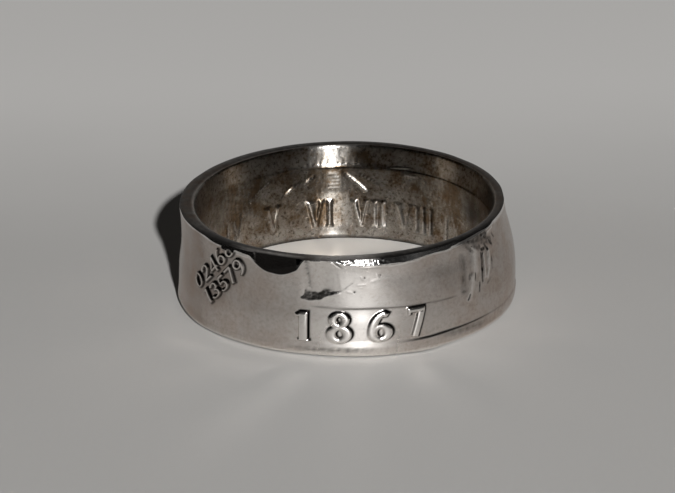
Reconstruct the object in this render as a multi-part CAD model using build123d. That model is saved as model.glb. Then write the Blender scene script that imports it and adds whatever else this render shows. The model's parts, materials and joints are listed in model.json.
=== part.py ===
from build123d import *

import math
import os
from collections import namedtuple

# A band ring folded from a struck silver coin, in millimetres.
# The origin is the centre of the underside, +Z up along the finger, and the front faces -Y.

# Driving dimensions
bore_radius = 9.17          # finger hole, about a US size 8
height = 6.39               # underside to the top edge, at the middle of the hole
foot_wall = 1.50            # wall at the foot, where the coin's own rim ended up
shoulder_wall = 0.99        # wall where the top bevel begins
mouth_flare = 0.19          # the bore opens this much towards the top
bevel_depth = 0.16          # filed bevel round the outside of the top edge
bevel_height = 0.39
top_tilt = 0.55             # degrees, the top edge rises towards +X
belly_shift = 0.18          # the folded wall bulges this far towards +X

rim_height = 0.86           # the coin's raised rim, round the outside of the foot
rim_step = 0.07             # how far the rim stands out from the field above it
foot_round = 0.34           # worn outer corner of the foot
inner_rim_height = 0.65     # the other side's rim, inside the foot
inner_rim_step = 0.09
ledge_height = 4.95         # where the smooth band under the mouth begins, inside
ledge_step = 0.05

relief = 0.12               # struck relief on the outside
low_relief = 0.07           # the broad, worn panel of relief on the outside
inner_relief = 0.10         # struck relief on the inside

numeral_height = 1.92       # large numerals at the front
numeral_stroke = 0.34
numeral_foot = 1.22         # height of the large numerals' feet above the underside
count_height = 0.98         # small numerals in the two slanted rows
count_stroke = 0.20
count_spacing = 0.24
dial_height = 1.80          # Roman numerals round the bore
dial_stroke = 0.27
dial_foot = 0.78            # height of the Roman numerals' feet above the underside
dial_spacing = 0.26
dial_pitch = 20.0           # degrees from one Roman numeral to the next

facet_angle = -22.2         # degrees from the front, the flat filed on the shoulder
facet_depth = 0.62          # how far below the bevel the flat reaches
facet_slope = 16.0          # degrees from upright
fan_step = 60.0             # degrees, the widest slice used to cut a bowed stroke to its sweep
lip_length = 2.3            # a short raised lip beside the broad panel
lip_width = 0.34

# Sizes that follow
shoulder_radius = bore_radius + shoulder_wall
ridge_radius = shoulder_radius - bevel_depth
foot_radius = bore_radius + foot_wall
field_radius = foot_radius - rim_step
clear_radius = foot_radius + 10 * relief   # beyond everything that is raised
embed_radius = bore_radius + shoulder_wall / 3   # inside the wall, where relief starts

# Sections of the outside wall, from the foot up. The height is a share of the band's height, the
# swell a share of the way from the shoulder's radius to the field's, and the shift a share of
# belly_shift.
WallSection = namedtuple("WallSection", "height_share swell_share shift_share")
wall_sections = [
    WallSection(0.00, 1.00, 0.60),
    WallSection(0.22, 1.04, 0.95),
    WallSection(0.38, 0.97, 1.00),
    WallSection(0.53, 0.69, 1.00),
    WallSection(0.69, 0.37, 0.70),
    WallSection(0.86, 0.06, -0.20),
    WallSection(1.00, 0.00, -0.75),
]

# Strokes are straight or follow an ellipse, in units of the numeral's height, from its foot.
Bar = namedtuple("Bar", "x1 y1 x2 y2")
Bow = namedtuple("Bow", "x y x_radius y_radius start sweep")
Glyph = namedtuple("Glyph", "width strokes")
glyphs = {
    "1": Glyph(0.34, [Bar(0.17, 0.0, 0.17, 1.0), Bar(0.0, 0.07, 0.34, 0.07), Bar(0.02, 0.93, 0.20, 0.93)]),
    "2": Glyph(0.54, [
        Bow(0.27, 0.70, 0.19, 0.22, 170, -205),
        Bar(0.43, 0.58, 0.06, 0.08),
        Bar(0.0, 0.08, 0.54, 0.08),
    ]),
    "3": Glyph(0.52, [Bow(0.24, 0.72, 0.18, 0.20, 150, -240), Bow(0.24, 0.30, 0.21, 0.22, 90, -240)]),
    "4": Glyph(0.58, [Bar(0.42, 0.0, 0.42, 1.0), Bar(0.42, 0.95, 0.04, 0.32), Bar(0.0, 0.30, 0.58, 0.30)]),
    "5": Glyph(0.52, [
        Bar(0.08, 0.92, 0.48, 0.92),
        Bar(0.12, 0.95, 0.10, 0.55),
        Bow(0.24, 0.32, 0.22, 0.24, 125, -260),
    ]),
    "6": Glyph(0.58, [Bow(0.29, 0.31, 0.21, 0.24, 0, 360), Bow(0.42, 0.36, 0.34, 0.57, 95, 90)]),
    "7": Glyph(0.54, [Bar(0.0, 0.92, 0.54, 0.92), Bar(0.48, 0.92, 0.18, 0.0)]),
    "8": Glyph(0.58, [Bow(0.29, 0.73, 0.17, 0.20, 0, 360), Bow(0.29, 0.29, 0.21, 0.24, 0, 360)]),
    "9": Glyph(0.58, [Bow(0.29, 0.69, 0.21, 0.24, 0, 360), Bow(0.16, 0.64, 0.34, 0.57, 275, 90)]),
    "I": Glyph(0.16, [Bar(0.08, 0.0, 0.08, 1.0)]),
    "V": Glyph(0.62, [Bar(0.06, 1.0, 0.31, 0.04), Bar(0.56, 1.0, 0.31, 0.04)]),
    "X": Glyph(0.62, [Bar(0.08, 1.0, 0.54, 0.0), Bar(0.54, 1.0, 0.08, 0.0)]),
}

# The large numerals: what each is and where its middle stands, in degrees from the front.
FrontNumeral = namedtuple("FrontNumeral", "text angle stretch")
front_numerals = [
    FrontNumeral("1", -15.0, 1.0),
    FrontNumeral("8", -3.0, 1.25),
    FrontNumeral("6", 10.6, 1.3),
    FrontNumeral("7", 23.0, 1.0),
]

# The small numerals stand in rows that climb to the right.
CountRow = namedtuple("CountRow", "text angle height_share turn")
count_rows = [
    CountRow("2468", -50.5, 0.665, 45.0),
    CountRow("13579", -43.5, 0.565, 45.0),
]

# The Roman numerals stand round the bore, the middle of their row at the back.
dial_numerals = ["I", "II", "III", "IV", "V", "VI", "VII", "VIII", "IX", "X", "XI", "XII"]

# Pointed ridges, like locks or leaves. Heights are shares of the height, widths in millimetres.
Leaf = namedtuple("Leaf", "angle foot_share length_share width turn")
front_locks = [
    Leaf(43.0, 0.50, 0.44, 0.46, 3.0),
    Leaf(47.5, 0.42, 0.52, 0.52, -2.0),
    Leaf(52.0, 0.55, 0.40, 0.44, 4.0),
    Leaf(56.5, 0.46, 0.46, 0.50, -4.0),
    Leaf(61.0, 0.52, 0.38, 0.44, 5.0),
]
bore_leaves = [
    Leaf(-36.0, 0.52, 0.21, 0.34, -48.0),
    Leaf(-24.0, 0.55, 0.21, 0.34, -55.0),
    Leaf(-12.0, 0.52, 0.21, 0.34, -48.0),
    Leaf(12.0, 0.52, 0.21, 0.34, 48.0),
    Leaf(24.0, 0.55, 0.21, 0.34, 55.0),
    Leaf(36.0, 0.52, 0.21, 0.34, 48.0),
]

# The broad panel's outline: degrees from the front, and shares of the height.
PanelCorner = namedtuple("PanelCorner", "angle height_share")
panel_corners = [
    PanelCorner(-6.5, 0.545),
    PanelCorner(11.0, 0.518),
    PanelCorner(25.0, 0.505),
    PanelCorner(38.5, 0.500),
    PanelCorner(41.0, 0.70),
    PanelCorner(40.0, 1.10),
    PanelCorner(-4.0, 1.10),
]
lip = PanelCorner(-6.5, 0.665)  # the middle of the raised lip


def outside_face(angle):
    """Plane at the axis that looks outwards, its x to the right as seen from outside."""
    turn = math.radians(angle)
    outwards = (math.sin(turn), -math.cos(turn), 0)
    rightwards = (math.cos(turn), math.sin(turn), 0)
    return Plane(origin=(0, 0, 0), x_dir=rightwards, z_dir=outwards)


def inside_face(angle):
    """Plane at the axis that looks back from the far wall, its x to the right as seen from the axis."""
    turn = math.radians(angle)
    inwards = (-math.sin(turn), -math.cos(turn), 0)
    rightwards = (math.cos(turn), -math.sin(turn), 0)
    return Plane(origin=(0, 0, 0), x_dir=rightwards, z_dir=inwards)


def stroke_face(stroke, size, width, stretch):
    """One stroke of a numeral, drawn at its real size."""
    if isinstance(stroke, Bar):
        start = (stroke.x1 * size * stretch, stroke.y1 * size)
        end = (stroke.x2 * size * stretch, stroke.y2 * size)
        length = math.dist(start, end)
        turn = math.degrees(math.atan2(end[1] - start[1], end[0] - start[0]))
        middle = ((start[0] + end[0]) / 2, (start[1] + end[1]) / 2)
        return Pos(*middle) * Rot(0, 0, turn) * Rectangle(length, width)
    x_radius = stroke.x_radius * size * stretch
    y_radius = stroke.y_radius * size
    centre = (stroke.x * size * stretch, stroke.y * size)
    outer = Ellipse(x_radius + width / 2, y_radius + width / 2)
    ring = outer - Ellipse(x_radius - width / 2, y_radius - width / 2)
    if abs(stroke.sweep) < 360:
        reach = 2 * (x_radius + y_radius)
        steps = max(2, math.ceil(abs(stroke.sweep) / fan_step))
        turns = [math.radians(stroke.start + stroke.sweep * step / steps) for step in range(steps + 1)]
        fan = [(0, 0)] + [(reach * math.cos(turn), reach * math.sin(turn)) for turn in turns]
        ring = ring & make_face(Polyline(*fan, close=True))
    return Pos(*centre) * ring


def glyph_face(name, size, width, stretch=1.0):
    """All the strokes of one numeral, its middle at x = 0 and its foot at y = 0."""
    glyph = glyphs[name]
    strokes = [stroke_face(stroke, size, width, stretch) for stroke in glyph.strokes]
    drawn = Sketch() + strokes
    return Pos(-glyph.width * size * stretch / 2, 0) * drawn


def word_face(text, size, width, spacing):
    """A row of numerals, centred on x = 0."""
    widths = [glyphs[name].width * size for name in text]
    length = sum(widths) + spacing * (len(text) - 1)
    placed = Sketch()
    start = -length / 2
    for name, glyph_width in zip(text, widths):
        placed = placed + Pos(start + glyph_width / 2, 0) * glyph_face(name, size, width)
        start = start + glyph_width + spacing
    return placed


def leaf_face(length, width):
    """A pointed lens, its foot at the origin and its tip straight up."""
    left = ThreePointArc((0, 0), (-width / 2, length / 2), (0, length))
    right = ThreePointArc((0, length), (width / 2, length / 2), (0, 0))
    return make_face(left + right)


def wall_radius(section):
    """The outside radius at one section of the wall."""
    return shoulder_radius + section.swell_share * (field_radius - shoulder_radius)


def radius_at(level):
    """The outside radius at a height above the underside, between two sections."""
    share = level / height
    for lower, upper in zip(wall_sections, wall_sections[1:]):
        if share <= upper.height_share:
            part = (share - lower.height_share) / (upper.height_share - lower.height_share)
            return wall_radius(lower) + part * (wall_radius(upper) - wall_radius(lower))
    return wall_radius(wall_sections[-1])


def upright(radius, length):
    """A cylinder about the axis that stands on the underside's level."""
    return Cylinder(radius, length, align=(Align.CENTER, Align.CENTER, Align.MIN))


def wall_body(extra):
    """The outside wall as a solid, grown outwards by extra and left long at the top."""
    rings = []
    for section in wall_sections:
        centre = (section.shift_share * belly_shift, 0, section.height_share * height)
        rings.append(Pos(*centre) * Circle(wall_radius(section) + extra))
    top = wall_sections[-1]
    spare = upright(wall_radius(top) + extra, 2 * bevel_height)
    return loft(rings) + Pos(top.shift_share * belly_shift, 0, height) * spare


def rim_body():
    """The coin's raised rim: a hoop round the foot with a worn outer corner."""
    hoop = upright(foot_radius, rim_height)
    hoop = fillet(hoop.edges().group_by(Axis.Z)[0], min(foot_round, 0.8 * rim_height))
    return Pos(wall_sections[0].shift_share * belly_shift, 0, 0) * hoop


def foot_trim():
    """The field wall's own lower corner, which lies inside the rim's, as a ring to cut away."""
    core = upright(foot_radius, 2 * foot_round)
    core = fillet(core.edges().group_by(Axis.Z)[0], foot_round)
    return Pos(wall_sections[0].shift_share * belly_shift, 0, 0) * (upright(clear_radius, foot_round) - core)


def outer_prism(face, angle):
    """A drawn face pushed out through the wall at an angle from the front."""
    plane = outside_face(angle)
    start = plane * Pos(0, 0, embed_radius) * face
    return extrude(start, amount=clear_radius - embed_radius, dir=plane.z_dir)


def inner_prism(face, angle):
    """A drawn face pushed from the wall towards the axis at an angle from the back."""
    plane = inside_face(angle)
    start = plane * Pos(0, 0, -embed_radius) * face
    return extrude(start, amount=embed_radius / 2, dir=plane.z_dir)


def outer_relief():
    """Everything struck on the outside, cut to the shape of the grown wall."""
    raised = wall_body(relief)
    pieces = []
    for numeral in front_numerals:
        face = glyph_face(numeral.text, numeral_height, numeral_stroke, numeral.stretch)
        pieces.append(raised & outer_prism(Pos(0, numeral_foot) * face, numeral.angle))
    for row in count_rows:
        face = word_face(row.text, count_height, count_stroke, count_spacing)
        seat = Pos(0, row.height_share * height) * Rot(0, 0, row.turn)
        pieces.append(raised & outer_prism(seat * face, row.angle))
    for lock in front_locks:
        face = leaf_face(lock.length_share * height, lock.width)
        seat = Pos(0, lock.foot_share * height) * Rot(0, 0, lock.turn)
        pieces.append(raised & outer_prism(seat * face, lock.angle))
    ridge = Pos(lip_length / 2, lip.height_share * height) * Rot(0, 0, 90) * leaf_face(lip_length, lip_width)
    pieces.append(raised & outer_prism(ridge, lip.angle))
    return pieces


def broad_panel():
    """The broad, low panel over the large numerals."""
    middle = sum(corner.angle for corner in panel_corners) / len(panel_corners)
    corners = []
    for corner in panel_corners:
        across = foot_radius * math.sin(math.radians(corner.angle - middle))
        corners.append((across, corner.height_share * height))
    return wall_body(low_relief) & outer_prism(make_face(Polyline(*corners, close=True)), middle)


def inner_relief_pieces():
    """Everything struck on the inside: a dial of Roman numerals under two sprigs of leaves."""
    skin = upright(embed_radius, height) - upright(bore_radius - inner_relief, height)
    pieces = []
    for place, text in enumerate(dial_numerals):
        angle = (place - (len(dial_numerals) - 1) / 2) * dial_pitch
        face = word_face(text, dial_height, dial_stroke, dial_spacing)
        pieces.append(skin & inner_prism(Pos(0, dial_foot) * face, angle))
    for leaf in bore_leaves:
        face = leaf_face(leaf.length_share * height, leaf.width)
        seat = Pos(0, leaf.foot_share * height) * Rot(0, 0, leaf.turn)
        pieces.append(skin & inner_prism(seat * face, leaf.angle))
    return pieces


def top_form():
    """What the tilted top edge and its bevel leave standing: a cone over a wide drum."""
    slope = bevel_depth / bevel_height
    drop = (clear_radius - ridge_radius) / slope
    cone = Cone(clear_radius, ridge_radius, drop, align=(Align.CENTER, Align.CENTER, Align.MAX))
    drum = Cylinder(clear_radius, 2 * height, align=(Align.CENTER, Align.CENTER, Align.MAX))
    seat = Pos(wall_sections[-1].shift_share * belly_shift, 0, height) * Rot(0, -top_tilt, 0)
    return seat * (cone + Pos(0, 0, -drop) * drum)


def shoulder_facet():
    """The flat filed on the shoulder, as a block to cut away."""
    tip = height - bevel_height - facet_depth
    block = Box(foot_radius, height, foot_wall, align=(Align.CENTER, Align.MIN, Align.MIN))
    return outside_face(facet_angle) * Pos(0, tip, radius_at(tip)) * Rot(-facet_slope, 0, 0) * block


def finger_hole():
    """The bore with the other side's rim at its foot and a smooth flared band at its mouth."""
    through = Pos(0, 0, -height) * upright(bore_radius - inner_rim_step, 3 * height)
    field = Pos(0, 0, inner_rim_height) * upright(bore_radius, ledge_height - inner_rim_height)
    ledge_radius = bore_radius + ledge_step
    far_radius = ledge_radius + 2 * (mouth_flare - ledge_step)
    rise = 2 * (height - ledge_height)
    mouth = Cone(ledge_radius, far_radius, rise, align=(Align.CENTER, Align.CENTER, Align.MIN))
    return through + field + Pos(0, 0, ledge_height) * mouth


def band():
    """The whole ring in one solid."""
    outside = wall_body(0) + rim_body() + broad_panel() + outer_relief()
    outside = (outside - foot_trim()) & top_form()
    outside = outside - shoulder_facet()
    return outside - finger_hole() + inner_relief_pieces()


os.makedirs("parts", exist_ok=True)
export_step(band(), "parts/band.step")
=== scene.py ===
import json
import logging
import math
from collections.abc import Callable
from dataclasses import dataclass, field, replace
from enum import Enum

import bpy
import numpy as np
from mathutils import Matrix, Vector


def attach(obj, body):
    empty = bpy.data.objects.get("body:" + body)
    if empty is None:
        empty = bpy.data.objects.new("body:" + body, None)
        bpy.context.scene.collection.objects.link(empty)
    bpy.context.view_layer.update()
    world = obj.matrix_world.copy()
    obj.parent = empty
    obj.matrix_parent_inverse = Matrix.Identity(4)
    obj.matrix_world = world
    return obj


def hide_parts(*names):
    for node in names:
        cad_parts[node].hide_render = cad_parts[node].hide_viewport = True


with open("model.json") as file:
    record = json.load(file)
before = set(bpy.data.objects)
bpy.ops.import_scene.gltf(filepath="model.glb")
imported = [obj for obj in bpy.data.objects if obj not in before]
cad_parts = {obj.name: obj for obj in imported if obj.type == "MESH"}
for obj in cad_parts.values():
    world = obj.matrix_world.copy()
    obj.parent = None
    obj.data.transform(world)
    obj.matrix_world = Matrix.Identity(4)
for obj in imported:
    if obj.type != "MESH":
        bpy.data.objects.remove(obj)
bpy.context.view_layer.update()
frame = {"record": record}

# A folded silver coin ring on plain pale paper. Lengths are millimetres, turned to metres at the end.
MM = 0.001
# A vertex this near to a wall of the hoop is on it, and one this near to a height is at it.
ON_WALL = 0.01
AT_HEIGHT = 1e-3
# The attributes that carry the wear, and the painted shade that is held in dirt, from the mesh to the
# finishes.
TONES = ("dirt", "tarnish", "matt")
log = logging.getLogger("coin_ring")

# A place on a wall: degrees round the band, and millimetres up.
Place = tuple[float, float]
# A struck line: its places, its width, its height (less than nothing for a groove) and its darkness: tarnish
# in a groove, painted shade in the wide strips beside the locks.
Line = tuple[tuple[Place, ...], float, float, float]


def linear(hex_colour: str) -> tuple[float, float, float, float]:
    """Turns an sRGB hex colour into the linear one that a shader takes.

    Args:
        hex_colour: six hex digits, red first.

    Returns:
        Linear red, green and blue, and an alpha of one.
    """
    channels = [int(hex_colour[start:start + 2], 16) / 255 for start in (0, 2, 4)]
    lin = [c / 12.92 if c <= 0.04045 else ((c + 0.055) / 1.055) ** 2.4 for c in channels]
    return (lin[0], lin[1], lin[2], 1.0)


def add_node(tree: bpy.types.NodeTree, kind: str, inputs: dict | None = None, **settings) -> bpy.types.Node:
    """Adds one node, sets its properties, and fills or links its inputs.

    Args:
        tree: the node tree to add to.
        kind: the node's type name, without ShaderNode before it.
        inputs: for each input by name or number, a value, a socket to link, or a node, whose first
            output in use is linked.
        settings: properties of the node itself.

    Returns:
        The new node.
    """
    made = tree.nodes.new("ShaderNode" + kind)
    for name, value in settings.items():
        setattr(made, name, value)
    for name, value in (inputs or {}).items():
        if isinstance(value, bpy.types.Node):
            value = next(output for output in value.outputs if output.enabled)
        if isinstance(value, bpy.types.NodeSocket):
            tree.links.new(value, made.inputs[name])
        else:
            made.inputs[name].default_value = value
    return made


def start_material(name: str) -> tuple[bpy.types.Material, bpy.types.Node]:
    """Starts a node material.

    Args:
        name: what it is called.

    Returns:
        The material, and the node that gives each place in millimetres of Object coordinates.
    """
    made = bpy.data.materials.new(name)
    made.use_nodes = True
    made.node_tree.nodes.clear()
    place = add_node(made.node_tree, "TexCoord").outputs["Object"]
    return made, add_node(made.node_tree, "Mapping", {"Vector": place, "Scale": (1 / MM,) * 3})


def ramp(low: float, high: float, value: np.ndarray) -> np.ndarray:
    """Rises smoothly from 0 at low to 1 at high, or falls where low is above high."""
    share = np.clip((value - low) / (high - low), 0.0, 1.0)
    return share * share * (3.0 - 2.0 * share)


def between(value: np.ndarray, low: float, full: float, last: float, high: float) -> np.ndarray:
    """Rises smoothly from low to full, stays at 1 as far as last, and falls to 0 at high."""
    return ramp(low, full, value) * ramp(high, last, value)


def hill(value: np.ndarray, middle: float, width: float, power: int = 2) -> np.ndarray:
    """A smooth hill with its top, 1, at the middle. A higher power makes the top flatter."""
    return np.exp(-(((value - middle) / width) ** power))


def smooth_table(place: np.ndarray, stations: tuple[float, ...], entries: tuple[float, ...]) -> np.ndarray:
    """Runs a smooth curve through a table.

    Args:
        place: where the curve is wanted.
        stations: where the table's entries stand, rising.
        entries: the entries.

    Returns:
        The curve's value at each place.
    """
    x, y = np.array(stations, dtype=float), np.array(entries, dtype=float)
    slopes = np.gradient(y, x)
    place = np.clip(place, x[0], x[-1])
    row = np.clip(np.searchsorted(x, place, side="right") - 1, 0, len(x) - 2)
    gap = x[row + 1] - x[row]
    t = (place - x[row]) / gap
    rise = (t ** 3 - 2 * t ** 2 + t) * slopes[row] + (t ** 3 - t ** 2) * slopes[row + 1]
    return y[row] + (3 * t ** 2 - 2 * t ** 3) * (y[row + 1] - y[row]) + gap * rise


class Side(Enum):
    """The sides of the band's section, which are also its material slots."""

    OUTSIDE = 0
    INSIDE = 1
    EDGE = 2


@dataclass(frozen=True)
class Bar:
    """A straight stroke with square ends, in units of the numeral's height."""

    x1: float
    y1: float
    x2: float
    y2: float
    width: float

    def gap(self, u: np.ndarray, v: np.ndarray) -> np.ndarray:
        """Measures how far places are from the stroke.

        Args:
            u: the places, across the numeral.
            v: the places, up the numeral.

        Returns:
            Signed distances to its outline, negative inside.
        """
        run, climb = self.x2 - self.x1, self.y2 - self.y1
        length = math.hypot(run, climb)
        along = ((u - self.x1) * run + (v - self.y1) * climb) / length - length / 2
        across = ((v - self.y1) * run - (u - self.x1) * climb) / length
        past_end = np.abs(along) - length / 2
        past_side = np.abs(across) - self.width / 2
        outside = np.hypot(np.maximum(past_end, 0.0), np.maximum(past_side, 0.0))
        return outside + np.minimum(np.maximum(past_end, past_side), 0.0)


@dataclass(frozen=True)
class Bow:
    """A stroke along an ellipse or part of one, thinner at its top and foot, in the same units."""

    x: float
    y: float
    x_radius: float
    y_radius: float
    width: float
    start: float = 0.0
    sweep: float = 360.0
    thin: float = 0.62

    def gap(self, u: np.ndarray, v: np.ndarray) -> np.ndarray:
        """Measures how far places are from the stroke.

        Args:
            u: the places, across the numeral.
            v: the places, up the numeral.

        Returns:
            Signed distances to its outline, negative inside.
        """
        steps = math.ceil(abs(self.sweep) / 12)
        nearest = np.full_like(u, 99.0)
        for step in range(steps):
            first, last = (math.radians(self.start + self.sweep * (step + k) / steps) for k in (0, 1))
            x1, y1 = self.x + self.x_radius * math.cos(first), self.y + self.y_radius * math.sin(first)
            run = self.x + self.x_radius * math.cos(last) - x1
            climb = self.y + self.y_radius * math.sin(last) - y1
            along = np.clip(((u - x1) * run + (v - y1) * climb) / (run * run + climb * climb), 0.0, 1.0)
            swell = self.thin + (1.0 - self.thin) * abs(math.cos((first + last) / 2))
            away = np.hypot(u - x1 - along * run, v - y1 - along * climb)
            nearest = np.minimum(nearest, away - self.width / 2 * swell)
        return nearest


@dataclass(frozen=True)
class Glyph:
    """One numeral: its width and strokes, in units of its height."""

    width: float
    strokes: tuple[Bar | Bow, ...]

    def gap(self, u: np.ndarray, v: np.ndarray) -> np.ndarray:
        """Signed distance from places to the numeral's outline, negative inside."""
        return np.minimum.reduce([stroke.gap(u, v) for stroke in self.strokes])


def serifs(level: float, *spans: tuple[float, float]) -> tuple[Bar, ...]:
    """Flat serifs at one level, each over a span of the numeral's width."""
    return tuple(Bar(left, level, right, level, 0.07) for left, right in spans)


# Tall slab-footed numerals for the front, cut as a punch cutter would.
TALL: dict[str, Glyph] = {
    "1": Glyph(0.46, (
        Bar(0.24, 0.0, 0.24, 0.99, 0.28), Bar(0.06, 0.03, 0.42, 0.03, 0.06),
        Bar(0.02, 0.84, 0.20, 0.94, 0.12),
    )),
    "8": Glyph(0.58, (
        Bow(0.29, 0.745, 0.16, 0.19, 0.20), Bow(0.29, 0.275, 0.20, 0.22, 0.23),
    )),
    "6": Glyph(0.58, (
        Bow(0.29, 0.28, 0.19, 0.22, 0.22), Bow(0.44, 0.32, 0.34, 0.60, 0.22, 100, 85),
        Bar(0.37, 0.90, 0.47, 0.84, 0.17),
    )),
    "7": Glyph(0.56, (
        Bar(0.02, 0.91, 0.56, 0.91, 0.17), Bar(0.46, 0.90, 0.22, 0.0, 0.22),
        Bar(0.06, 0.74, 0.06, 0.98, 0.10),
    )),
}

# Plain rounded numerals for the two counting rows.
ROUND: dict[str, Glyph] = {
    "0": Glyph(0.58, (Bow(0.29, 0.50, 0.19, 0.41, 0.20),)),
    "1": Glyph(0.30, (Bar(0.17, 0.0, 0.17, 1.0, 0.20), Bar(0.02, 0.82, 0.17, 0.94, 0.14))),
    "2": Glyph(0.54, (
        Bow(0.27, 0.70, 0.19, 0.22, 0.20, 170, -205), Bar(0.43, 0.58, 0.08, 0.08, 0.18),
        Bar(0.02, 0.09, 0.54, 0.09, 0.18),
    )),
    "3": Glyph(0.52, (
        Bow(0.24, 0.73, 0.18, 0.20, 0.20, 150, -240), Bow(0.24, 0.30, 0.21, 0.22, 0.20, 90, -240),
    )),
    "4": Glyph(0.58, (
        Bar(0.42, 0.0, 0.42, 1.0, 0.20), Bar(0.42, 0.95, 0.05, 0.34, 0.16), Bar(0.0, 0.30, 0.58, 0.30, 0.17),
    )),
    "5": Glyph(0.52, (
        Bar(0.08, 0.91, 0.48, 0.91, 0.18), Bar(0.13, 0.95, 0.11, 0.55, 0.17),
        Bow(0.24, 0.32, 0.22, 0.24, 0.20, 125, -260),
    )),
    "6": Glyph(0.58, (Bow(0.29, 0.31, 0.20, 0.23, 0.20), Bow(0.43, 0.36, 0.34, 0.57, 0.20, 95, 90))),
    "7": Glyph(0.54, (Bar(0.0, 0.91, 0.54, 0.91, 0.18), Bar(0.46, 0.92, 0.18, 0.0, 0.20))),
    "8": Glyph(0.58, (Bow(0.29, 0.74, 0.17, 0.19, 0.19), Bow(0.29, 0.29, 0.20, 0.23, 0.20))),
    "9": Glyph(0.58, (Bow(0.29, 0.69, 0.20, 0.23, 0.20), Bow(0.15, 0.64, 0.34, 0.57, 0.20, 275, 90))),
}

# Dial numerals with thick and thin strokes and flat serifs.
DIAL: dict[str, Glyph] = {
    "I": Glyph(0.24, (
        Bar(0.12, 0.0, 0.12, 1.0, 0.14), *serifs(0.03, (0.0, 0.24)), *serifs(0.97, (0.0, 0.24)),
    )),
    "V": Glyph(0.70, (
        Bar(0.13, 1.0, 0.36, 0.02, 0.15), Bar(0.58, 1.0, 0.38, 0.02, 0.08),
        *serifs(0.97, (0.0, 0.26), (0.47, 0.70)),
    )),
    "X": Glyph(0.68, (
        Bar(0.13, 1.0, 0.55, 0.0, 0.15), Bar(0.55, 1.0, 0.12, 0.0, 0.08),
        *serifs(0.97, (0.01, 0.25), (0.44, 0.67)), *serifs(0.03, (0.01, 0.23), (0.43, 0.68)),
    )),
}


@dataclass(frozen=True)
class Punch:
    """How a row of numerals is struck: with worn round faces, and tarnish round them that is moved to one
    side as painted shade.

    Attributes:
        letters: the style they are cut in.
        size: their height.
        lift: how far they are raised.
        soft: width of their slopes.
        dirt: darkness beside them, tarnish in the hollows with painted shade on one side.
        spread: how far the darkness reaches.
        shade: how far the darkness is moved along the row and up the numerals, which paints shade on one
            side of each stroke.
        crown: how far their faces are rounded, as a share of the lift.
        spacing: the gap between them.
        turn: the row's slant, degrees.
        stretch: widens them.
    """

    letters: dict[str, Glyph]
    size: float
    lift: float
    soft: float
    dirt: float
    spread: float
    shade: tuple[float, float]
    crown: float
    spacing: float = 0.0
    turn: float = 0.0
    stretch: float = 1.0


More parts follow.
